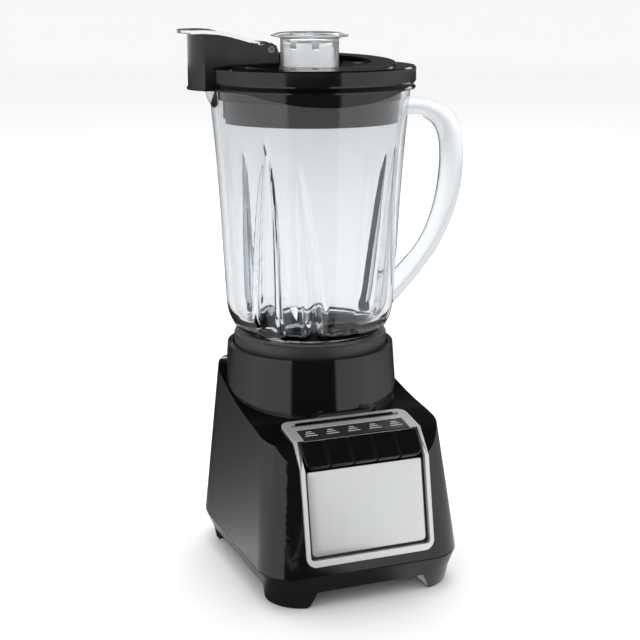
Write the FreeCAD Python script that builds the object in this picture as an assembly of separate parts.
"""Countertop blender: motor base with five push buttons, glass jar, cutter, lid, spout and filler cap.

Millimetres, +Z up. The origin is where the drive axis meets the surface that the blender stands on.
-Y is the front, with the buttons. The jar, the cutter and the lid are drawn with their handle along
+X and are then turned about the drive axis by JAR_TURN, which is how the jar is seated.
"""
import FreeCAD, Part
import math
import os

V = FreeCAD.Vector
Z_AXIS = V(0, 0, 1)

# ---------------------------------------------------------------- driving dimensions
GAP = 0.4                  # clearance between pieces that move apart
JAR_TURN = -10.0           # how the jar is seated: handle direction from +X, degrees

# motor base: plan of the housing at the seam and at a high level, outside faces
SEAM_Z = 23.0              # height of the seam between the two housings
HIGH_Z = 140.0             # level of the upper plan, above the housing's top
HALF_WIDTH = 71.8          # at the seam
SIDE_TAPER = 11.2          # narrower by this on each side at HIGH_Z
HALF_WIDTH_HIGH = HALF_WIDTH - SIDE_TAPER
FRONT = 112.3              # front face's distance from the drive axis, at the seam
FRONT_LEAN = 0.186         # how far the front face leans back, mm per mm of height
BACK = 66.0
BACK_HIGH = 62.5
FRONT_CORNER = 26.0        # plan radii
BACK_CORNER = 45.0
WALL = 3.5
# side profile of the housing: front break, top of the bevel, end of the panel, then the top curve
BREAK_Z = 92.0
BEVEL_RUN = 13.2
BEVEL_RISE = 15.5
PANEL_RUN = 27.6
PANEL_RISE = 4.6
TOP_CURVE = ((-30, 116.0), (0, 123.0), (30, 132.0), (50, 133.5), (62, 128.0))
TOP_BACK = (80, 96.0)

# lower housing and feet
BOTTOM_Z = 11.5            # underside between the feet
SEAM_GROOVE = 0.8          # width and depth of the line between the two housings
SKIRT_TUCK = 4.6           # how far the lower housing tapers in at the sides
FLOOR = 3.0
FOOT_X = 39.0              # inner side of a foot, at the underside
FOOT_Y_FRONT = 84.0
FOOT_Y_BACK = 26.0
FOOT_FLARE = 4.0
PAD = 1.5                  # thickness of the rubber pad under a foot
PAD_INSET = 2.5            # how far a pad stays inside the lower housing's underside
LEG_TUCK = 1.5             # how far a leg tapers in at its foot
VENTS = 9
VENT_WIDE = 3.0
VENT_LONG = 60.0
VENT_PITCH = 8.0

# screws between the two housings
SCREW_X = HALF_WIDTH - 11.8
SCREW_YS = (40.3 - FRONT, BACK - 48.0)
SCREW_BOSS_R = 6.0
SCREW_BOSS_Z = 62.0
SCREW_R = 1.6
SCREW_PILOT_R = 1.7
SCREW_HEAD_R = 4.0
SCREW_HEAD = 2.0
SCREW_TOP_Z = 46.0
SCREW_SEAT_Z = BOTTOM_Z + FLOOR - 1.4

# neck and the jar's seat
COLLAR_R = 54.0            # the jar's collar, which the seat takes
SEAT_R = COLLAR_R + 1.2    # recess that takes the collar
NECK_R_TOP = SEAT_R + 3.6
NECK_R_LOW = NECK_R_TOP + 3.0
NECK_LOW_Z = 112.0
NECK_Z = 152.8
SEAT_Z = 138.0
SEAT_FLOOR = 4.0
WELL_R = 30.0              # well round the drive coupling
WELL_Z = 126.0
WELL_FLOOR = 3.0

# front panel
PANEL_HALF = 46.0
PANEL_LOW = 6.4            # frame's lower edge above the seam, along the front face
PANEL_CORNER = 7.0
FRAME_PROUD = 1.5
FRAME_SUNK = 2.0
FRAME_SIDE = 3.6
FRAME_BOTTOM = 4.6
PLATE = 1.2
PLATE_GAP = 0.6
LABEL_HALF = PANEL_HALF - 7.8
LABEL_DEEP = 14.5
BAR = 5.0                  # bright bar behind the label
GROOVE = 3.6               # dark slot behind the bar

# buttons
BUTTONS = 5
ROW_HALF = PANEL_HALF - 4.0
BUTTON_GAP = 0.5
BUTTON_PROUD = 3.0
BUTTON_DEEP = 8.0
BUTTON_TRAVEL = 3.0
BUTTON_ROUND = 1.2
STEM = 5.0
STEM_DEEP = 18.0
SWITCH_DEEP = 12.0
BOARD = 1.6
BOARD_HALF = ROW_HALF + 8.0
BOARD_OUT = STEM_DEEP + BUTTON_TRAVEL + GAP + SWITCH_DEEP
BOARD_POST_X = ROW_HALF + 4.6
BOARD_POST_R = 2.6

# motor
SHAFT_R = 4.0
SHAFT_FIT = 0.04           # radial running clearance in the bearings
BEARING_R = SHAFT_R + 3.0
SHAFT_Z = (19.0, 135.0)
STATOR = 66.0
STATOR_Z = (48.0, 84.0)
ROTOR_R = 22.0
AIR_GAP = 0.5
COIL_X = (14.0, 23.0)
COIL_Y = (24.6, 30.0)
COIL_OVER = 7.0            # overhang of the coils past the stack
BOLT_R = 2.0
BOLT_AT = STATOR / 2 - 5.0
BRACKET = 4.0
BRACKET_LOW_Z = 32.0
BRACKET_HIGH_Z = 104.0
POST_AT = STATOR / 2 + 3.0   # posts that carry the upper bracket
POST_R = 5.0
COMMUTATOR_R = 12.0
COMMUTATOR_Z = (87.0, 102.0)
BRUSH = (5.0, 12.0, 6.0)
BRUSH_FIT = 0.06
FAN_R = 36.0
FAN_Z = (20.0, 29.0)
FAN_BLADES = 9

# couplings between motor and cutter
DOGS = 6
DOG_ANGLE = 27.0
DOG_R = (8.0, 16.0)
DRIVE_Z = 127.0
DRIVE_PLATE = 4.0
DOG_TALL = 5.0
DOG_CLEAR = 0.6

# glass jar
JAR_OUTSIDE = ((46.5, 163.0), (52.0, 164.6), (54.9, 169.0), (57.4, 174.5), (58.9, 183.0), (60.2, 206.0),
               (61.4, 228.0), (62.6, 252.0), (65.3, 292.0), (67.6, 317.0), (68.8, 330.0))
JAR_WALL = 4.3
RIM_R = 69.6
RIM_Z = 340.4
JAR_FOOT_Z = 149.5
JAR_FOOT_R = 46.5
JAR_MOUTH_R = 40.0
LIP_R = 72.4
LIP_Z = 330.4
LIP_HALF = 15.0
HANDLE_OUT = ((62.0, 322.0), (80.0, 323.0), (97.0, 316.5), (106.2, 306.0), (109.9, 286.0), (109.4, 268.0),
              (106.3, 250.0), (100.7, 234.0), (92.0, 216.5), (80.0, 200.0), (69.0, 187.0), (57.5, 176.0))
HANDLE_IN = ((62.0, 311.0), (76.0, 310.5), (86.5, 306.0), (91.8, 298.0), (93.8, 284.0), (92.6, 264.0),
             (89.6, 248.0), (84.5, 232.0), (77.5, 219.0), (70.0, 210.0), (60.0, 204.0))
HANDLE_WIDE = 15.0
HANDLE_ROUND = 4.8
RIB_PAIRS = 3              # pointed ribs inside the jar, in pairs
RIB_ANGLES = (232.6, 252.1)
RIB_TALL = 118.0
RIB_R = 6.5
RIB_TIP_R = 0.8
RIB_LEAN = 4.6             # degrees from upright

# collar and blade assembly
COLLAR_Z = (141.0, 161.2)
COLLAR_INSIDE = JAR_FOOT_R + 0.5
COLLAR_HOLE = 36.0
COLLAR_ROUND = 1.5
BLADE_DISC_R = COLLAR_INSIDE - 1.0
BLADE_DOME = 8.0
BLADE_Z = 159.0            # underside of the lower blade
BLADE_DISC = 2.6
GASKET = 2.5
BUSH_R = 9.0
BUSH_LOW_Z = 142.5
CUTTER_SHAFT_R = 4.0
CUTTER_TOP_Z = 172.0
BLADE_REACH = 29.0
BLADE_WIDE = 11.0
BLADE_THICK = 1.4

# lid
RING_INSIDE = RIM_R + 0.8
RING_R = RING_INSIDE + 2.2
RING_Z = (331.0, 346.2)
GROOVE_Z = 334.0
GROOVE_IN = 1.8
LID_TOP = 5.0
PLUG_R = RIM_R - JAR_WALL - 4.3
PLUG_Z = 309.3
PLUG_WALL = 2.2
SEAL_Z = 324.5
CROWN_R = 58.0
CROWN_LOW = 346.2
CROWN_HIGH = 352.2
DISH_R = 42.0
DISH_DEEP = 5.0
CAP_R = 20.0
CAP_SEAT_Z = 335.0
TUBE_WALL = 2.2
TAB_DROP = 8.0
TAB_HALF = 52.0

# pouring spout on the lid, along -X before the jar is turned
SPOUT_END = 83.3
SPOUT_HALF = 21.0
SPOUT_IN = 38.0
SPOUT_WALL = 2.2
SPOUT_TOP = ((83.3, 367.6), (75.0, 367.8), (66.0, 367.2), (52.0, 364.6), (38.0, 360.4))
PIN_X = 29.5
PIN_Z = 357.6
PIN_R = 2.2
PIN_FIT = 0.05
KNUCKLE_R = PIN_R + 2.0
EAR_HALF = (13.6, 18.0)
COVER = 2.3
COVER_REST = 0.45          # clear of the spout's edge
COVER_TIP = SPOUT_END + 6.6
COVER_HALF = SPOUT_HALF + 1.0
TONGUE_HALF = EAR_HALF[0] - 0.6

# filler cap
FLANGE_R = CAP_R + 6.8
FLANGE_LOBE = 1.6
LOBES = 8
LOBE_R = 9.0
FLANGE_Z = 364.2
CAP_TOP_Z = 368.0
CAP_WALL = 2.2

# cord inlet at the back
GLAND_Z = 34.0
GLAND_R = 6.5


# ---------------------------------------------------------------- helpers
def save(name, shape, turned=False):
    """Write one node; pieces of the jar and the lid are turned about the drive axis."""
    if turned:
        shape = shape.copy()
        shape.rotate(V(0, 0, 0), Z_AXIS, JAR_TURN)
    shape.exportStep("parts/" + name + ".step")
    print(name, len(shape.Solids), "solid(s)", shape.isValid(), round(shape.Volume / 1000.0, 2), "cm3")


def join(shapes):
    """One fused shape."""
    whole = shapes[0].multiFuse(shapes[1:]) if len(shapes) > 1 else shapes[0]
    return whole.removeSplitter()


def group(shapes):
    """Separate solids kept together in one node."""
    return Part.makeCompound(shapes)


def tube(r_out, r_in, z0, z1, x=0.0, y=0.0):
    """Upright tube, or a plain cylinder where r_in is 0."""
    solid = Part.makeCylinder(r_out, z1 - z0, V(x, y, z0))
    return solid.cut(Part.makeCylinder(r_in, z1 - z0, V(x, y, z0))) if r_in else solid


def block(x0, x1, y0, y1, z0, z1):
    """Box between two corners."""
    return Part.makeBox(x1 - x0, y1 - y0, z1 - z0, V(x0, y0, z0))


def lathe(points):
    """Solid of revolution about Z from a closed outline of (radius, height) points."""
    corners = [V(r, 0, z) for r, z in points]
    return Part.Face(Part.makePolygon(corners + corners[:1])).revolve(V(0, 0, 0), Z_AXIS, 360)


def slab_x(points, half, centre=0.0):
    """Closed outline of (y, z) points, extruded along X to both sides of centre."""
    corners = [V(centre - half, y, z) for y, z in points]
    return Part.Face(Part.makePolygon(corners + corners[:1])).extrude(V(2 * half, 0, 0))


def slab_y(points, half):
    """Closed outline of (x, z) points, extruded along Y to both sides of the middle."""
    corners = [V(x, -half, z) for x, z in points]
    return Part.Face(Part.makePolygon(corners + corners[:1])).extrude(V(0, 2 * half, 0))


def at_corners(half_x, half_y):
    """The four corners of a rectangle about the drive axis."""
    return [(sx * half_x, sy * half_y) for sx in (-1, 1) for sy in (-1, 1)]


# ---------------------------------------------------------------- housing
def plan_wire(half, front, back, r_front, r_back, z):
    """Rounded plan of the base at one level: four sides and four corner arcs."""
    corners = ((half, -front, r_front, -90), (half, back, r_back, 0),
               (-half, back, r_back, 90), (-half, -front, r_front, 180))
    ends = []
    arcs = []
    for x, y, radius, start in corners:
        cx = x - math.copysign(radius, x)
        cy = y - math.copysign(radius, y)
        turn = [math.radians(start + step) for step in (0, 45, 90)]
        spots = [V(cx + radius * math.cos(t), cy + radius * math.sin(t), z) for t in turn]
        arcs.append(Part.Arc(*spots).toShape())
        ends.append((spots[0], spots[2]))
    edges = []
    for i, arc in enumerate(arcs):
        edges.append(arc)
        edges.append(Part.LineSegment(ends[i][1], ends[(i + 1) % 4][0]).toShape())
    return Part.Wire(edges)


def front_at(z):
    """Distance of the front face from the drive axis at a height."""
    return FRONT - FRONT_LEAN * (z - SEAM_Z)


BREAK = (-front_at(BREAK_Z), BREAK_Z)
BEVEL_TOP = (BREAK[0] + BEVEL_RUN, BREAK_Z + BEVEL_RISE)
PANEL_TOP = (BEVEL_TOP[0] + PANEL_RUN, BEVEL_TOP[1] + PANEL_RISE)
PANEL_FOOT_Z = SEAM_Z + PANEL_LOW
PANEL_FOOT = (-front_at(PANEL_FOOT_Z), PANEL_FOOT_Z)


def unit(a, b):
    """Unit vector from one (y, z) point to another."""
    length = math.dist(a, b)
    return ((b[0] - a[0]) / length, (b[1] - a[1]) / length)


def offset_line(points, out):
    """An open (y, z) line moved outwards by a distance, with mitred bends."""
    moved = []
    for i, point in enumerate(points):
        before = unit(points[max(i - 1, 0)], points[max(i, 1)])
        last = len(points) - 1
        after = unit(points[min(i, last - 1)], points[min(i + 1, last)])
        n0 = (-before[1], before[0])
        n1 = (-after[1], after[0])
        share = 1.0 + n0[0] * n1[0] + n0[1] * n1[1]
        moved.append((point[0] + out * (n0[0] + n1[0]) / share, point[1] + out * (n0[1] + n1[1]) / share))
    return moved


def side_profile(drop):
    """Extruded side view of the housing, lowered by drop inside its skin."""
    line = offset_line([BREAK, BEVEL_TOP, PANEL_TOP], -drop)
    lean = unit(BREAK, (BREAK[0] - FRONT_LEAN * 60.0, BREAK[1] - 60.0))
    front = (line[0][0] + lean[0] * 90.0 - 8.0, line[0][1] + lean[1] * 90.0)
    start = V(-100, line[-1][0], line[-1][1])
    knots = [start] + [V(-100, y, z - drop) for y, z in TOP_CURVE]
    curve = Part.BSplineCurve()
    curve.interpolate(knots)
    low_front = V(-100, front[0], 0)
    break_front = V(-100, line[0][0] - 8.0, line[0][1] - 8.0 * BEVEL_RISE / BEVEL_RUN)
    path = [low_front, break_front, V(-100, *line[1]), start]
    back = [knots[-1], V(-100, TOP_BACK[0], TOP_BACK[1] - drop), V(-100, TOP_BACK[0], 0), low_front]
    edges = Part.makePolygon(path).Edges + [curve.toShape()] + Part.makePolygon(back).Edges
    return Part.Face(Part.Wire(edges)).extrude(V(200, 0, 0))


def housing_form(inset, low):
    """Solid form of the upper housing, moved inwards by inset, from the level low upwards."""
    span = HIGH_Z - SEAM_Z

    def plan(z):
        share = (z - SEAM_Z) / span
        half = HALF_WIDTH + (HALF_WIDTH_HIGH - HALF_WIDTH) * share - inset
        back = BACK + (BACK_HIGH - BACK) * share - inset
        return plan_wire(half, front_at(z) - inset, back, FRONT_CORNER - inset, BACK_CORNER - inset, z)

    loft = Part.makeLoft([plan(low), plan(HIGH_Z)], True, True)
    return loft.common(side_profile(inset))


def bevel_point(along, out):
    """A (y, z) point measured along the button bevel from the break, and out from its face."""
    d = unit(BREAK, BEVEL_TOP)
    return (BREAK[0] + d[0] * along - d[1] * out, BREAK[1] + d[1] * along + d[0] * out)


BEVEL_LONG = math.dist(BREAK, BEVEL_TOP)


def bevel_box(half, along0, along1, out0, out1, centre=0.0):
    """Box that is square to the button bevel."""
    outline = [bevel_point(along0, out0), bevel_point(along1, out0),
               bevel_point(along1, out1), bevel_point(along0, out1)]
    return slab_x(outline, half, centre)


def housing_upper():
    """Main shell with neck, jar seat, coupling well, motor posts and screw columns."""
    form = housing_form(0.0, SEAM_Z)
    neck = Part.makeCone(NECK_R_LOW, NECK_R_TOP, NECK_Z - NECK_LOW_Z, V(0, 0, NECK_LOW_Z))
    neck = neck.fuse(tube(NECK_R_LOW, 0, NECK_LOW_Z - 12, NECK_LOW_Z).common(form))
    outside = form.fuse(neck)
    inside = housing_form(WALL, SEAM_Z).fuse(tube(SEAT_R, 0, SEAM_Z + 60, SEAT_Z - SEAT_FLOOR))
    shell = outside.cut(inside)
    shell = shell.cut(tube(SEAT_R, 0, SEAT_Z, NECK_Z + 1))
    well = tube(WELL_R + WELL_FLOOR, 0, WELL_Z - WELL_FLOOR, SEAT_Z).cut(tube(WELL_R, 0, WELL_Z, SEAT_Z))
    shell = shell.cut(tube(WELL_R, 0, SEAT_Z - SEAT_FLOOR - 1, SEAT_Z + 1))
    pieces = [shell, well]
    top = SEAT_Z - SEAT_FLOOR + 1
    for x, y in at_corners(POST_AT, POST_AT):
        pieces.append(tube(POST_R, 0, BRACKET_HIGH_Z + BRACKET, top, x, y))
    for sx in (-1, 1):
        for y in SCREW_YS:
            x0, x1 = sorted((sx * SCREW_X, sx * (HALF_WIDTH + 1)))
            rib = block(x0, x1, y - 2, y + 2, SEAM_Z, SCREW_BOSS_Z)
            pieces.append(tube(SCREW_BOSS_R, 0, SEAM_Z, SCREW_BOSS_Z, sx * SCREW_X, y))
            pieces.append(rib.common(form))
        for along in (2.0, BEVEL_LONG - 2.0):
            y0, z0 = bevel_point(along, -WALL + 0.5)
            inward = V(0, unit(BREAK, BEVEL_TOP)[1], -unit(BREAK, BEVEL_TOP)[0])
            foot = V(sx * BOARD_POST_X, y0, z0)
            pieces.append(Part.makeCylinder(BOARD_POST_R, BOARD_OUT - WALL + 0.5, foot, inward))
    whole = join(pieces)
    for x, y in at_corners(POST_AT, POST_AT):
        whole = whole.cut(tube(1.6, 0, BRACKET_HIGH_Z, BRACKET_HIGH_Z + 18, x, y))
    for sx in (-1, 1):
        for y in SCREW_YS:
            whole = whole.cut(tube(SCREW_PILOT_R, 0, SEAM_Z - 1, SCREW_TOP_Z + 4, sx * SCREW_X, y))
    whole = whole.cut(tube(SHAFT_R + 3.0, 0, 110, WELL_Z + 1))
    whole = whole.cut(panel_slab(PANEL_HALF + 0.1, -FRAME_SUNK, 6.0, 0.0, 0.1))
    whole = whole.cut(bevel_box(ROW_HALF + GAP, 0.2, BEVEL_LONG - 0.2, -10.0, 5.0))
    whole = whole.cut(Part.makeCylinder(GLAND_R, 20, V(0, BACK - 12, GLAND_Z), V(0, 1, 0)))
    return whole.removeSplitter()


def panel_slab(half, out0, out1, shrink, grow=0.0):
    """Band that follows the front face, the bevel and the top, from the frame's foot to its top end."""
    foot_up = unit(PANEL_FOOT, BREAK)
    top_on = unit(BEVEL_TOP, PANEL_TOP)
    foot = (PANEL_FOOT[0] + foot_up[0] * (shrink - grow), PANEL_FOOT[1] + foot_up[1] * (shrink - grow))
    end = (PANEL_TOP[0] - top_on[0] * (shrink - grow), PANEL_TOP[1] - top_on[1] * (shrink - grow))
    line = [foot, BREAK, BEVEL_TOP, end]
    outline = offset_line(line, out0) + offset_line(line, out1)[::-1]
    slab = slab_x(outline, half)
    radius = max(PANEL_CORNER - shrink, 1.0)
    for point, along in ((foot, foot_up), (end, (-top_on[0], -top_on[1]))):
        for side in (-1, 1):
            slab = slab.cut(corner_piece(side * half, point, along, side, radius))
    return slab


def corner_piece(x, point, along, side, radius):
    """What a rounded corner leaves off: a square rod with a round rod taken out of it."""
    d = V(0, along[0], along[1])
    face = V(0, -along[1], along[0])
    centre = V(x - side * radius, point[0], point[1]) + d * radius
    spots = [centre, centre + V(side * 2 * radius, 0, 0)]
    square = [spots[0], spots[1], spots[1] - d * 2 * radius, spots[0] - d * 2 * radius]
    rod = Part.Face(Part.makePolygon([p - face * 30 for p in square + square[:1]])).extrude(face * 60)
    return rod.cut(Part.makeCylinder(radius, 60, centre - face * 30, face))


def panel_frame():
    """Bright frame round the plate and the buttons, with a bar and a slot behind the label."""
    ring = panel_slab(PANEL_HALF, -FRAME_SUNK, FRAME_PROUD, 0.0)
    window = slab_x([bevel_point(BEVEL_LONG, -20), bevel_point(BEVEL_LONG, 20), bevel_point(-70, 60),
                     (BREAK[0] - 60, PANEL_FOOT_Z - 20), (BREAK[0] + 30, PANEL_FOOT_Z - 20)], 60)
    opening = panel_slab(PANEL_HALF - FRAME_SIDE + 0.6, -20, 20, FRAME_BOTTOM).common(window)
    ring = ring.cut(opening)
    ring = ring.cut(top_box(LABEL_HALF + 0.2, -1, LABEL_DEEP + 0.2, FRAME_PROUD - 1.2, FRAME_PROUD + 3))
    slot = top_box(LABEL_HALF + 1, LABEL_DEEP + BAR, LABEL_DEEP + BAR + GROOVE, -FRAME_SUNK - 1, 9)
    return ring.cut(slot).removeSplitter()


def top_box(half, along0, along1, out0, out1):
    """Box on the panel's top stretch, measured back from the top of the bevel."""
    d = unit(BEVEL_TOP, PANEL_TOP)
    spots = []
    for along, out in ((along0, out0), (along1, out0), (along1, out1), (along0, out1)):
        spots.append((BEVEL_TOP[0] + d[0] * along - d[1] * out, BEVEL_TOP[1] + d[1] * along + d[0] * out))
    return slab_x(spots, half)


def panel_plate():
    """Flat plate inside the frame, below the buttons."""
    up = unit(PANEL_FOOT, BREAK)
    low = FRAME_BOTTOM + PLATE_GAP
    high = math.dist(PANEL_FOOT, BREAK) - 1.0
    foot = (PANEL_FOOT[0] + up[0] * low, PANEL_FOOT[1] + up[1] * low)
    head = (PANEL_FOOT[0] + up[0] * high, PANEL_FOOT[1] + up[1] * high)
    half = PANEL_HALF - FRAME_SIDE - PLATE_GAP + 0.6
    outline = offset_line([foot, head], -FRAME_SUNK) + offset_line([foot, head], PLATE - FRAME_SUNK)[::-1]
    plate = slab_x(outline, half)
    for side in (-1, 1):
        plate = plate.cut(corner_piece(side * half, foot, up, side, 3.0))
    return plate


def label_strip():
    """Dark printed strip between the buttons and the bright bar."""
    return top_box(LABEL_HALF, 0.4, LABEL_DEEP, FRAME_PROUD - 1.2, FRAME_PROUD - 0.3)


def button(index):
    """Push button with a rounded cap and a stem that works its switch."""
    pitch = 2 * ROW_HALF / BUTTONS
    x = -ROW_HALF + pitch * (index + 0.5)
    half = (pitch - BUTTON_GAP) / 2
    cap = bevel_box(half, 0.6, BEVEL_LONG - 0.6, -BUTTON_DEEP, BUTTON_PROUD, x)
    face = sorted(cap.Faces, key=lambda f: f.CenterOfMass.z - f.CenterOfMass.y)[-1]
    cap = cap.makeFillet(BUTTON_ROUND, face.Edges)
    middle = BEVEL_LONG / 2
    stem = bevel_box(STEM / 2, middle - STEM / 2, middle + STEM / 2, -STEM_DEEP, -BUTTON_DEEP, x)
    return join([cap, stem])


def switch_block():
    """Five-way switch body behind the buttons, on its board."""
    return bevel_box(ROW_HALF - 1, 2, BEVEL_LONG - 2, -BOARD_OUT, -(BOARD_OUT - SWITCH_DEEP))


def circuit_board():
    """Board that carries the switch block and is held on four short posts."""
    return bevel_box(BOARD_HALF, -1, BEVEL_LONG + 1, -BOARD_OUT - BOARD, -BOARD_OUT)


def lower_form(inset, low, high):
    """Tapered tray form of the lower housing between two levels above the feet."""
    def plan(z):
        share = (SEAM_Z - z) / (SEAM_Z - BOTTOM_Z)
        half = HALF_WIDTH - SKIRT_TUCK * share - inset
        return plan_wire(half, FRONT - 1.0 * share - inset, BACK - SKIRT_TUCK * share - inset,
                         FRONT_CORNER - inset, BACK_CORNER - inset, z)
    return Part.makeLoft([plan(low), plan(high)], True, True)


def foot_block(sx, y0, y1):
    """One leg: flared towards the middle, upright outside."""
    inner = FOOT_X + FOOT_FLARE
    points = [(inner, PAD), (90, PAD), (90, BOTTOM_Z + 1), (FOOT_X - 1, BOTTOM_Z + 1)]
    corners = [V(sx * x, y0, z) for x, z in points]
    return Part.Face(Part.makePolygon(corners + corners[:1])).extrude(V(0, y1 - y0, 0))


def leg_plan(z0, z1):
    """Outline that trims the legs: the lower housing's plan, tucked in a little further down."""
    tuck = SKIRT_TUCK + LEG_TUCK
    args = (HALF_WIDTH - SKIRT_TUCK, FRONT - 1.0, BACK - SKIRT_TUCK, FRONT_CORNER, BACK_CORNER)
    low = (HALF_WIDTH - tuck, FRONT - 1.0 - LEG_TUCK, BACK - tuck, FRONT_CORNER, BACK_CORNER)
    return Part.makeLoft([plan_wire(*low, z0), plan_wire(*args, z1)], True, True)


def housing_bottom():
    """Lower housing: shallow tray with vent slots, four legs and screw holes."""
    tray = lower_form(0.0, BOTTOM_Z, SEAM_Z).cut(lower_form(WALL, BOTTOM_Z + FLOOR, SEAM_Z + 1))
    legs = []
    for sx in (-1, 1):
        legs.append(foot_block(sx, -FRONT, -FOOT_Y_FRONT))
        legs.append(foot_block(sx, FOOT_Y_BACK, BACK))
    legs = [leg.common(leg_plan(PAD, BOTTOM_Z)) for leg in legs]
    whole = join([tray] + legs)
    groove_z = SEAM_Z - SEAM_GROOVE
    groove = lower_form(-1.0, groove_z, SEAM_Z + 1).cut(lower_form(SEAM_GROOVE, groove_z, SEAM_Z + 1))
    whole = whole.cut(groove)
    for i in range(VENTS):
        x = VENT_PITCH * (i - (VENTS - 1) / 2)
        whole = whole.cut(block(x - VENT_WIDE / 2, x + VENT_WIDE / 2, -VENT_LONG / 2, VENT_LONG / 2,
                                BOTTOM_Z - 1, BOTTOM_Z + FLOOR + 1))
    hole = SCREW_R + 0.6
    for sx in (-1, 1):
        for y in SCREW_YS:
            whole = whole.cut(tube(hole, 0, 0, SEAM_Z, sx * SCREW_X, y))
            whole = whole.cut(tube(SCREW_HEAD_R + 0.6, 0, 0, SCREW_SEAT_Z, sx * SCREW_X, y))
            whole = whole.fuse(tube(SCREW_BOSS_R, hole, BOTTOM_Z + FLOOR, SEAM_Z, sx * SCREW_X, y))
    return whole.removeSplitter()


def foot_pads():
    """Four rubber pads under the legs."""
    pads = []
    for sx in (-1, 1):
        for y0, y1 in ((-FRONT, -FOOT_Y_FRONT), (FOOT_Y_BACK, BACK)):
            x0, x1 = sorted((sx * (FOOT_X + FOOT_FLARE + 1), sx * (HALF_WIDTH + 10)))
            rod = block(x0, x1, y0, y1, 0, PAD)
            trim = plan_wire(HALF_WIDTH - SKIRT_TUCK - PAD_INSET, FRONT - 1.0 - PAD_INSET,
                             BACK - SKIRT_TUCK - PAD_INSET, FRONT_CORNER, BACK_CORNER, 0)
            pads.append(rod.common(Part.Face(trim).extrude(V(0, 0, PAD))))
    return group(pads)


def base_screws():
    """Four screws that hold the two housings together."""
    screws = []
    for sx in (-1, 1):
        for y in SCREW_YS:
            head = tube(SCREW_HEAD_R, 0, SCREW_SEAT_Z - SCREW_HEAD, SCREW_SEAT_Z, sx * SCREW_X, y)
            screws.append(head.fuse(tube(SCREW_R, 0, SCREW_SEAT_Z, SCREW_TOP_Z, sx * SCREW_X, y)))
    return group(screws)


def cord_gland():
    """Cord inlet at the back: a flanged bush with a cord hole."""
    y = BACK - WALL
    bush = Part.makeCylinder(GLAND_R - 0.1, WALL + 2, V(0, y - 1, GLAND_Z), V(0, 1, 0))
    inside = Part.makeCylinder(GLAND_R + 2, 2, V(0, y - 3, GLAND_Z), V(0, 1, 0))
    hole = Part.makeCylinder(3.2, 30, V(0, y - 10, GLAND_Z), V(0, 1, 0))
    return join([bush, inside]).cut(hole)


def seat_ring():
    """Soft ring in the seat that the jar's collar stands on."""
    return tube(SEAT_R - 1.0, SEAT_R - 9.0, SEAT_Z, COLLAR_Z[0] - GAP)


# ---------------------------------------------------------------- motor
def stator_core():
    """Square lamination stack with the rotor bore, coil windows and bolt holes."""
    half = STATOR / 2
    stack = block(-half, half, -half, half, *STATOR_Z).cut(tube(ROTOR_R + AIR_GAP, 0, 0, 150))
    for sx in (-1, 1):
        for sy in (-1, 1):
            x0, x1 = sorted((sx * (COIL_X[0] - 0.3), sx * (COIL_X[1] + 0.3)))
            y0, y1 = sorted((sy * (COIL_Y[0] - 0.3), sy * (COIL_Y[1] + 0.3)))
            stack = stack.cut(block(x0, x1, y0, y1, 0, 150))
    for x, y in at_corners(BOLT_AT, BOLT_AT):
        stack = stack.cut(tube(BOLT_R + 0.1, 0, 0, 150, x, y))
    return stack


def field_coils():
    """Two coils, each a loop through the stack's windows and over its ends."""
    coils = []
    for sx in (-1, 1):
        x0, x1 = sorted((sx * COIL_X[0], sx * COIL_X[1]))
        over = COIL_OVER
        loop = block(x0, x1, -COIL_Y[1], COIL_Y[1], STATOR_Z[0] - over, STATOR_Z[1] + over)
        hole = block(x0, x1, -COIL_Y[0], COIL_Y[0], STATOR_Z[0] - 1, STATOR_Z[1] + 1)
        coils.append(loop.cut(hole))
    return group(coils)


def bracket(z, half_x, half_y, holes):
    """Bearing bracket: a plate with a boss for the bearing and holes for its screws."""
    plate = block(-half_x, half_x, -half_y, half_y, z, z + BRACKET)
    plate = plate.fuse(tube(BEARING_R + 3, 0, z, z + BRACKET + 3))
    for x, y, r in holes:
        plate = plate.cut(tube(r, 0, z - 1, z + BRACKET + 1, x, y))
    return plate.cut(tube(BEARING_R, 0, z - 1, z + BRACKET + 5))


def motor_bracket_upper():
    """Plate that hangs the motor from the posts and carries the brush holders."""
    holes = [(x, y, 2.0) for x, y in at_corners(POST_AT, POST_AT)]
    holes += [(x, y, BOLT_R + 0.1) for x, y in at_corners(BOLT_AT, BOLT_AT)]
    plate = bracket(BRACKET_HIGH_Z, POST_AT + 5, POST_AT + 5, holes)
    for x, y in at_corners(BOLT_AT, BOLT_AT):
        plate = plate.fuse(tube(BOLT_R + 2.4, BOLT_R + 0.1, STATOR_Z[1], BRACKET_HIGH_Z, x, y))
    return plate.removeSplitter()


def motor_bracket_lower():
    """Plate under the stack with the lower bearing."""
    holes = [(x, y, BOLT_R + 0.1) for x, y in at_corners(BOLT_AT, BOLT_AT)]
    plate = bracket(BRACKET_LOW_Z, BOLT_AT + 5, BOLT_AT + 5, holes)
    for x, y in at_corners(BOLT_AT, BOLT_AT):
        low = BRACKET_LOW_Z + BRACKET
        plate = plate.fuse(tube(BOLT_R + 2.4, BOLT_R + 0.1, low, STATOR_Z[0], x, y))
    return plate.removeSplitter()


def bearing(z):
    """Sintered bush that the motor shaft runs in."""
    return tube(BEARING_R, SHAFT_R + SHAFT_FIT, z, z + BRACKET + 3)


def stator_bolts():
    """Four long bolts through both brackets and the stack."""
    bolts = []
    for x, y in at_corners(BOLT_AT, BOLT_AT):
        rod = tube(BOLT_R, 0, BRACKET_LOW_Z - 2, BRACKET_HIGH_Z + BRACKET + 1, x, y)
        head = tube(BOLT_R * 1.9, 0, BRACKET_LOW_Z - 2.5, BRACKET_LOW_Z, x, y)
        bolts.append(rod.fuse(head))
    return group(bolts)


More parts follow.
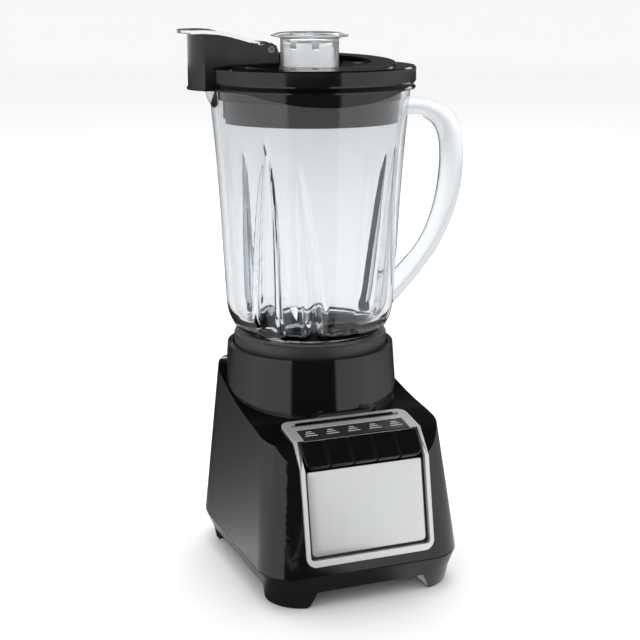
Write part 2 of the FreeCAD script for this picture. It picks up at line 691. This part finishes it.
def motor_screws():
    """Four screws that hang the upper bracket on the housing's posts."""
    screws = []
    for x, y in at_corners(POST_AT, POST_AT):
        head = tube(3.6, 0, BRACKET_HIGH_Z - 2.4, BRACKET_HIGH_Z, x, y)
        screws.append(head.fuse(tube(1.5, 0, BRACKET_HIGH_Z, BRACKET_HIGH_Z + 16, x, y)))
    return group(screws)


def brushes():
    """Carbon brushes on both sides of the commutator."""
    middle = sum(COMMUTATOR_Z) / 2
    near = COMMUTATOR_R + BRUSH_FIT
    return group([block(-BRUSH[0] / 2, BRUSH[0] / 2, min(s * near, s * (near + BRUSH[1])),
                        max(s * near, s * (near + BRUSH[1])), middle - BRUSH[2] / 2, middle + BRUSH[2] / 2)
                  for s in (-1, 1)])


def brush_holders():
    """Boxes under the upper bracket that guide the brushes."""
    middle = sum(COMMUTATOR_Z) / 2
    holders = []
    for s in (-1, 1):
        y0, y1 = sorted((s * (COMMUTATOR_R + 3), s * (COMMUTATOR_R + 18)))
        box = block(-5, 5, y0, y1, middle - BRUSH[2] / 2 - 2.5, BRACKET_HIGH_Z)
        hole = block(-BRUSH[0] / 2 - 0.1, BRUSH[0] / 2 + 0.1, -60, 60,
                     middle - BRUSH[2] / 2 - 0.1, middle + BRUSH[2] / 2 + 0.1)
        holders.append(box.cut(hole))
    return group(holders)


def rotor_core():
    """Slotted armature stack on the shaft."""
    core = tube(ROTOR_R, SHAFT_R, *STATOR_Z)
    for i in range(12):
        slot = block(ROTOR_R - 6, ROTOR_R + 1, -1.5, 1.5, STATOR_Z[0] - 1, STATOR_Z[1] + 1)
        slot.rotate(V(0, 0, 0), Z_AXIS, 30.0 * i)
        core = core.cut(slot)
    return core


def commutator():
    """Copper segment ring with thin slots."""
    ring = tube(COMMUTATOR_R, SHAFT_R, *COMMUTATOR_Z)
    for i in range(12):
        slot = block(COMMUTATOR_R - 1.2, COMMUTATOR_R + 1, -0.3, 0.3, COMMUTATOR_Z[0] - 1, COMMUTATOR_Z[1] + 1)
        slot.rotate(V(0, 0, 0), Z_AXIS, 30.0 * i + 15.0)
        ring = ring.cut(slot)
    return ring


def cooling_fan():
    """Radial fan: a disc with upright blades and a hub."""
    parts = [tube(FAN_R, SHAFT_R, FAN_Z[1] - 1.6, FAN_Z[1]), tube(SHAFT_R + 5, SHAFT_R, *FAN_Z)]
    for i in range(FAN_BLADES):
        blade = block(SHAFT_R + 4, FAN_R - 1, -0.8, 0.8, FAN_Z[0], FAN_Z[1] - 1)
        blade.rotate(V(SHAFT_R + 4, 0, 0), Z_AXIS, 18.0)
        blade.rotate(V(0, 0, 0), Z_AXIS, 360.0 / FAN_BLADES * i)
        parts.append(blade)
    return join(parts)


def dogs(z0, z1, start):
    """Ring of coupling dogs: sectors between two radii, evenly spaced from a start angle."""
    pieces = []
    for i in range(DOGS):
        low = Part.makeCylinder(DOG_R[1], z1 - z0, V(0, 0, z0), Z_AXIS, DOG_ANGLE)
        sector = low.cut(Part.makeCylinder(DOG_R[0], z1 - z0, V(0, 0, z0)))
        sector.rotate(V(0, 0, 0), Z_AXIS, start - DOG_ANGLE / 2 + 360.0 / DOGS * i)
        pieces.append(sector)
    return pieces


def drive_coupling():
    """Toothed coupling on the motor shaft, dogs up."""
    top = DRIVE_Z + DRIVE_PLATE
    plate = tube(DOG_R[1] + 1.5, SHAFT_R, DRIVE_Z, top)
    return join([plate, tube(DOG_R[0] - 1.5, SHAFT_R, top, top + 2)] + dogs(top, top + DOG_TALL, 0.0))


# ---------------------------------------------------------------- jar
def driven_coupling():
    """Toothed coupling under the cutter, dogs down, in mesh with the drive coupling."""
    low = DRIVE_Z + DRIVE_PLATE + GAP + DOG_CLEAR
    top = low + DOG_TALL + GAP
    start = 180.0 / DOGS - JAR_TURN
    plate = tube(DOG_R[1] + 1.5, CUTTER_SHAFT_R, top, top + 2.5)
    return join([plate] + dogs(low, top, start))


def smooth_face(outer, inner):
    """Face between two smooth (x, z) lines joined by straight ends."""
    def line(points):
        curve = Part.BSplineCurve()
        curve.interpolate([V(x, 0, z) for x, z in points])
        return curve.toShape()
    ends = [Part.LineSegment(V(outer[i][0], 0, outer[i][1]), V(inner[i][0], 0, inner[i][1])).toShape()
            for i in (0, -1)]
    edges = Part.__sortEdges__([line(outer), line(inner)] + ends)
    return Part.Face(Part.Wire(edges))


def jar_handle():
    """Solid glass handle: a smooth hook, rounded along its edges."""
    face = smooth_face(HANDLE_OUT, HANDLE_IN)
    face.translate(V(0, -HANDLE_WIDE / 2, 0))
    hook = face.extrude(V(0, HANDLE_WIDE, 0))
    long_edges = [e for e in hook.Edges if e.Length > 60]
    return hook.makeFillet(HANDLE_ROUND, long_edges)


def glass_jar():
    """Jar, handle and pouring lip as one piece of glass, open at both ends."""
    inside = [(r - JAR_WALL, z + 0.5) for r, z in JAR_OUTSIDE[1:]]
    outline = [(JAR_MOUTH_R, JAR_FOOT_Z), (JAR_FOOT_R, JAR_FOOT_Z)]
    outline += list(JAR_OUTSIDE) + [(RIM_R, LIP_Z + 2), (RIM_R, RIM_Z), (RIM_R - JAR_WALL, RIM_Z)]
    outline += inside[::-1] + [(JAR_MOUTH_R, 163.0)]
    wall = lathe(outline)
    cavity = lathe([(0, JAR_FOOT_Z - 1), (JAR_MOUTH_R, JAR_FOOT_Z - 1), (JAR_MOUTH_R, 163.0)] + inside
                   + [(RIM_R - JAR_WALL, RIM_Z + 1), (0, RIM_Z + 1)])
    handle = jar_handle().cut(cavity)
    lip = slab_y([(-LIP_R, LIP_Z), (-LIP_R + 1.5, LIP_Z - 2.5), (-66.5, LIP_Z - 9), (-62, LIP_Z - 9),
                  (-62, LIP_Z)], LIP_HALF)
    lip = lip.common(Part.makeCylinder(LIP_R, 40, V(0, 0, 300))).cut(cavity)
    ribs = []
    rib_r, rib_z = JAR_OUTSIDE[4][0], JAR_OUTSIDE[3][1]
    for pair in range(RIB_PAIRS):
        for angle in RIB_ANGLES:
            rib = Part.makeCone(RIB_R, RIB_TIP_R, RIB_TALL, V(rib_r - JAR_WALL - 0.5, 0, rib_z))
            rib.rotate(V(rib_r, 0, rib_z), V(0, 1, 0), RIB_LEAN)
            rib.rotate(V(0, 0, 0), Z_AXIS, 360.0 / RIB_PAIRS * pair + angle)
            ribs.append(rib.common(cavity))
    return join([wall, handle, lip] + ribs)


def jar_gasket():
    """Sealing ring between the glass and the blade housing."""
    return tube(JAR_FOOT_R, JAR_MOUTH_R - 0.5, JAR_FOOT_Z - GASKET, JAR_FOOT_Z)


def blade_housing():
    """Disc that closes the jar's foot, with a hub for the cutter's bush."""
    top = JAR_FOOT_Z - GASKET
    disc = tube(BLADE_DISC_R, 0, top - BLADE_DISC, top)
    hub_r = BUSH_R + 4
    dome = Part.makeCone(BLADE_DISC_R - 16, hub_r, BLADE_DOME, V(0, 0, top))
    hub = tube(hub_r, 0, BUSH_LOW_Z, top)
    return join([disc, dome, hub]).cut(tube(BUSH_R, 0, 120, 170))


def shaft_bush():
    """Bush that the cutter's shaft runs in."""
    return tube(BUSH_R, CUTTER_SHAFT_R + SHAFT_FIT, BUSH_LOW_Z, JAR_FOOT_Z - GASKET + BLADE_DOME)


def jar_collar():
    """Threaded collar that holds the blade housing to the glass."""
    low, high = COLLAR_Z
    ring = tube(COLLAR_R, COLLAR_INSIDE, low, high)
    web = JAR_FOOT_Z - GASKET - BLADE_DISC
    ring = join([ring, tube(COLLAR_R, COLLAR_HOLE, low, web)])
    rounded = [e for e in ring.Edges if abs(e.BoundBox.ZMax - high) < 0.01 and e.BoundBox.XMax > COLLAR_R - 0.1]
    return ring.makeFillet(COLLAR_ROUND, rounded)


def blade_shaft():
    """Cutter's shaft, from its coupling to the nut."""
    low = DRIVE_Z + DRIVE_PLATE + GAP + DOG_CLEAR + DOG_TALL + GAP
    return tube(CUTTER_SHAFT_R, 0, low, CUTTER_TOP_Z)


def blade(z, rise, turn):
    """Stamped two-ended blade with its tips bent by rise, sharpened along one edge of each arm."""
    root = 9.0
    drop = BLADE_THICK
    line = [(root, z), (BLADE_REACH, z + rise)]
    arms = []
    for side in (0, 180):
        arm = slab_y([(0, z), line[0], line[1], (line[1][0], line[1][1] + drop), (root, z + drop),
                      (0, z + drop)], BLADE_WIDE / 2)
        tip = block(root, 60, 0, 30, z - 30, z + 30)
        tip.rotate(V(root, BLADE_WIDE / 2, z), Z_AXIS, -14)
        tip.translate(V(0, BLADE_WIDE / 2 - 0.5, 0))
        arm = arm.cut(tip)
        arm.rotate(V(0, 0, z), Z_AXIS, side + turn)
        arms.append(arm)
    return join(arms).cut(tube(CUTTER_SHAFT_R, 0, z - 30, z + 30))


def blade_washer():
    """Spacer under the blades."""
    return tube(8.0, CUTTER_SHAFT_R, JAR_FOOT_Z - GASKET + BLADE_DOME + GAP, BLADE_Z)


def blade_nut():
    """Domed hexagon nut on top of the blades."""
    low = BLADE_Z + 2 * BLADE_THICK
    corners = [V(8 * math.cos(math.radians(60 * i)), 8 * math.sin(math.radians(60 * i)), low)
               for i in range(7)]
    nut = Part.Face(Part.makePolygon(corners)).extrude(V(0, 0, 6))
    cap = tube(6.5, 0, low + 6, CUTTER_TOP_Z + 2)
    return join([nut, cap]).cut(tube(CUTTER_SHAFT_R, 0, low - 1, CUTTER_TOP_Z))


# ---------------------------------------------------------------- lid
def crown_plane(extra):
    """Everything under the crown's sloping top face, moved up by extra."""
    slope = (CROWN_HIGH - CROWN_LOW) / (2 * CROWN_R)
    y0, y1 = -90.0, 90.0
    middle = (CROWN_HIGH + CROWN_LOW) / 2 + extra
    return slab_x([(y0, 300), (y0, middle + slope * y0), (y1, middle + slope * y1), (y1, 300)], 100)


def spout_outline(grow, low, lift):
    """Side view of the spout: (x, z) points under its top line, grown outwards."""
    line = [(-(r + (grow if i == 0 else 0)), z + lift) for i, (r, z) in enumerate(SPOUT_TOP)]
    return [(-SPOUT_END - grow, low)] + line + [(-SPOUT_IN + grow, low)]


def spout_plan(grow):
    """Upright rod with the spout's plan: straight sides and a bowed end."""
    bow = 9.0
    half = SPOUT_HALF + grow
    end = SPOUT_END + grow
    x_in = -SPOUT_IN + grow
    arc = Part.Arc(V(-end + bow, -half, 300), V(-end, 0, 300), V(-end + bow, half, 300)).toShape()
    sides = Part.makePolygon([V(-end + bow, half, 300), V(x_in, half, 300), V(x_in, -half, 300),
                              V(-end + bow, -half, 300)])
    return Part.Face(Part.Wire(Part.__sortEdges__([arc] + sides.Edges))).extrude(V(0, 0, 90))


def lid_tabs():
    """Two shallow crescents under the ring, square to the handle, that a thumb lifts the lid by."""
    radius = (TAB_HALF ** 2 + TAB_DROP ** 2) / (2 * TAB_DROP)
    band = tube(RING_R - 0.6, RING_INSIDE, RING_Z[0] - TAB_DROP, RING_Z[0] + 2)
    rod = Part.makeCylinder(radius, 200, V(0, -100, RING_Z[0] - TAB_DROP + radius), V(0, 1, 0))
    return band.common(rod).common(block(-60, 60, -80, 80, 300, 340))


def lid_body():
    """Lid in one moulding: ring, plug skirt, crown with a dish, spout box, hinge ears and cap tube."""
    low, top = RING_Z
    ring = lathe([(RING_INSIDE, low), (RING_R - 0.8, low), (RING_R, low + 1.4), (RING_R - GROOVE_IN, GROOVE_Z),
                  (RING_R, GROOVE_Z + 2.5), (RING_R, top - 1.0), (RING_R - 1.0, top), (RING_INSIDE, top)])
    plate = tube(RING_R - 2, 0, top - LID_TOP, top)
    skirt = tube(PLUG_R, PLUG_R - PLUG_WALL, PLUG_Z, top - 1)
    crown = Part.makeCone(CROWN_R + 2, CROWN_R - 4, CROWN_HIGH - CROWN_LOW + 6, V(0, 0, CROWN_LOW - 1))
    crown = crown.common(crown_plane(0.0))
    box = slab_y(spout_outline(0.0, low, 0.0), SPOUT_HALF + 5).common(spout_plan(0.0))
    foot = spout_plan(0.8).common(block(-100, 0, -40, 40, low, low + 1.6))
    ears = slab_y([(-SPOUT_IN - 1, top), (-SPOUT_IN - 1, SPOUT_TOP[-1][1]), (-PIN_X, PIN_Z + 4),
                   (-PIN_X + 3.5, PIN_Z + 2.5), (-PIN_X + 5, PIN_Z - 2), (-PIN_X + 5, top)], EAR_HALF[1])
    ears = ears.cut(block(-SPOUT_IN - 0.2, 0, -EAR_HALF[0], EAR_HALF[0], PIN_Z - KNUCKLE_R - 0.6, 380))
    whole = join([ring, plate, skirt, crown, box, foot, ears,
                  tube(CAP_R + 0.5 + TUBE_WALL, 0, CAP_SEAT_Z - 2, top), lid_tabs()])
    dish = Part.makeCone(CAP_R + 3, DISH_R, DISH_DEEP, V(0, 0, CROWN_LOW + 0.6 - DISH_DEEP))
    dish = dish.fuse(tube(DISH_R, 0, CROWN_LOW + 0.6, CROWN_HIGH + 3))
    dish = dish.cut(block(-SPOUT_IN - 9, -PIN_X + 5, -EAR_HALF[1], EAR_HALF[1], 300, 380))
    whole = whole.cut(dish)
    whole = whole.cut(tube(CAP_R + 0.5, 0, CAP_SEAT_Z, 380)).cut(tube(CAP_R - 3, 0, 320, 380))
    hollow = slab_y(spout_outline(-SPOUT_WALL, low + 2.4, 4.0), 40).common(spout_plan(-SPOUT_WALL))
    whole = whole.cut(hollow.common(block(-90, -SPOUT_IN - 3, -40, 40, 300, 390)))
    way = block(-PLUG_R + PLUG_WALL + 0.4, -SPOUT_IN - 6, -14, 14, 335, top + 1)
    window = block(-RING_INSIDE + 2, -SPOUT_IN, -16, 16, PLUG_Z - 1, SEAL_Z - 1)
    whole = whole.cut(way).cut(window)
    whole = whole.cut(tube(RING_INSIDE, RIM_R - JAR_WALL - 1.0 - GAP, low - 10, top - LID_TOP))
    whole = whole.cut(Part.makeCylinder(PIN_R, 80, V(-PIN_X, -40, PIN_Z), V(0, 1, 0)))
    return whole.removeSplitter()


def lid_seal():
    """Soft ring round the plug skirt."""
    return tube(PLUG_R + 1.8, PLUG_R, SEAL_Z, SEAL_Z + 5.0)


def hinge_pin():
    """Tubular pin through the ears and the cover's knuckle."""
    length = 2 * EAR_HALF[1] + 0.6
    pin = Part.makeCylinder(PIN_R, length, V(-PIN_X, -length / 2, PIN_Z), V(0, 1, 0))
    bore = Part.makeCylinder(1.0, 4, V(-PIN_X, -length / 2 - 1, PIN_Z), V(0, 1, 0))
    far = Part.makeCylinder(1.0, 4, V(-PIN_X, length / 2 - 3, PIN_Z), V(0, 1, 0))
    return pin.cut(bore).cut(far)


def spout_cover():
    """Clear flip cover over the spout, with a thumb edge, a tongue and a knuckle on the pin."""
    rest = COVER_REST
    line = [(-COVER_TIP, SPOUT_TOP[0][1] + 0.1)] + [(-r, z) for r, z in SPOUT_TOP]
    low = [(x, z + rest) for x, z in line]
    high = [(x, z + rest + COVER) for x, z in line]
    high[-1] = (high[-1][0], high[-1][1] - 0.6)
    plate = slab_y(low + high[::-1], COVER_HALF)
    corner = Part.makeCylinder(40, 60, V(-COVER_TIP + 40, 0, 340))
    plate = plate.common(corner.fuse(block(-COVER_TIP + 34, 0, -40, 40, 340, 400)))
    knuckle = Part.makeCylinder(KNUCKLE_R, 2 * TONGUE_HALF, V(-PIN_X, -TONGUE_HALF, PIN_Z), V(0, 1, 0))
    tongue = slab_y([(-SPOUT_IN - 0.5, SPOUT_TOP[-1][1] + rest + 0.2), (-PIN_X, PIN_Z + 1.5),
                     (-PIN_X, PIN_Z + KNUCKLE_R), (-SPOUT_IN - 0.5, SPOUT_TOP[-1][1] + rest + COVER - 0.6)],
                    TONGUE_HALF)
    whole = join([plate, knuckle, tongue])
    return whole.cut(Part.makeCylinder(PIN_R + PIN_FIT, 80, V(-PIN_X, -40, PIN_Z), V(0, 1, 0)))


def filler_cap():
    """Clear cap: a cup upside down, with a lobed flange to grip."""
    low = CAP_SEAT_Z + GAP
    body = tube(CAP_R, 0, low, FLANGE_Z + 1)
    flange = lathe([(0, FLANGE_Z), (FLANGE_R, FLANGE_Z + 1.2), (FLANGE_R, FLANGE_Z + 1.8),
                    (CAP_R - 1, CAP_TOP_Z), (0, CAP_TOP_Z)])
    lobes = []
    for i in range(LOBES):
        notch = tube(LOBE_R, 0, FLANGE_Z - 2, CAP_TOP_Z + 2, FLANGE_R + LOBE_R - FLANGE_LOBE, 0)
        notch.rotate(V(0, 0, 0), Z_AXIS, 360.0 / LOBES * i)
        lobes.append(notch)
    flange = flange.cut(group(lobes))
    return join([body, flange]).cut(tube(CAP_R - CAP_WALL, 0, low - 1, FLANGE_Z + 1.2))


# ---------------------------------------------------------------- write every node
def main():
    os.makedirs("parts", exist_ok=True)
    save("housing_upper", housing_upper())
    save("housing_bottom", housing_bottom())
    save("foot_pads", foot_pads())
    save("base_screws", base_screws())
    save("cord_gland", cord_gland())
    save("seat_ring", seat_ring())
    save("panel_frame", panel_frame())
    save("panel_plate", panel_plate())
    save("label_strip", label_strip())
    save("switch_block", switch_block())
    save("circuit_board", circuit_board())
    for index in range(BUTTONS):
        save("button_" + str(index + 1), button(index))
    save("stator_core", stator_core())
    save("field_coils", field_coils())
    save("motor_bracket_upper", motor_bracket_upper())
    save("motor_bracket_lower", motor_bracket_lower())
    save("upper_bearing", bearing(BRACKET_HIGH_Z))
    save("lower_bearing", bearing(BRACKET_LOW_Z))
    save("stator_bolts", stator_bolts())
    save("motor_screws", motor_screws())
    save("carbon_brushes", brushes())
    save("brush_holders", brush_holders())
    save("motor_shaft", tube(SHAFT_R, 0, *SHAFT_Z))
    save("rotor_core", rotor_core())
    save("commutator", commutator())
    save("cooling_fan", cooling_fan())
    save("drive_coupling", drive_coupling())
    save("glass_jar", glass_jar(), True)
    save("jar_gasket", jar_gasket(), True)
    save("blade_housing", blade_housing(), True)
    save("shaft_bush", shaft_bush(), True)
    save("jar_collar", jar_collar(), True)
    save("blade_shaft", blade_shaft(), True)
    save("blade_washer", blade_washer(), True)
    save("blade_lower", blade(BLADE_Z, -6.0, 20.0), True)
    save("blade_upper", blade(BLADE_Z + BLADE_THICK, 9.0, 110.0), True)
    save("blade_nut", blade_nut(), True)
    save("driven_coupling", driven_coupling(), True)
    save("lid_body", lid_body(), True)
    save("lid_seal", lid_seal(), True)
    save("hinge_pin", hinge_pin(), True)
    save("spout_cover", spout_cover(), True)
    save("filler_cap", filler_cap(), True)


main()
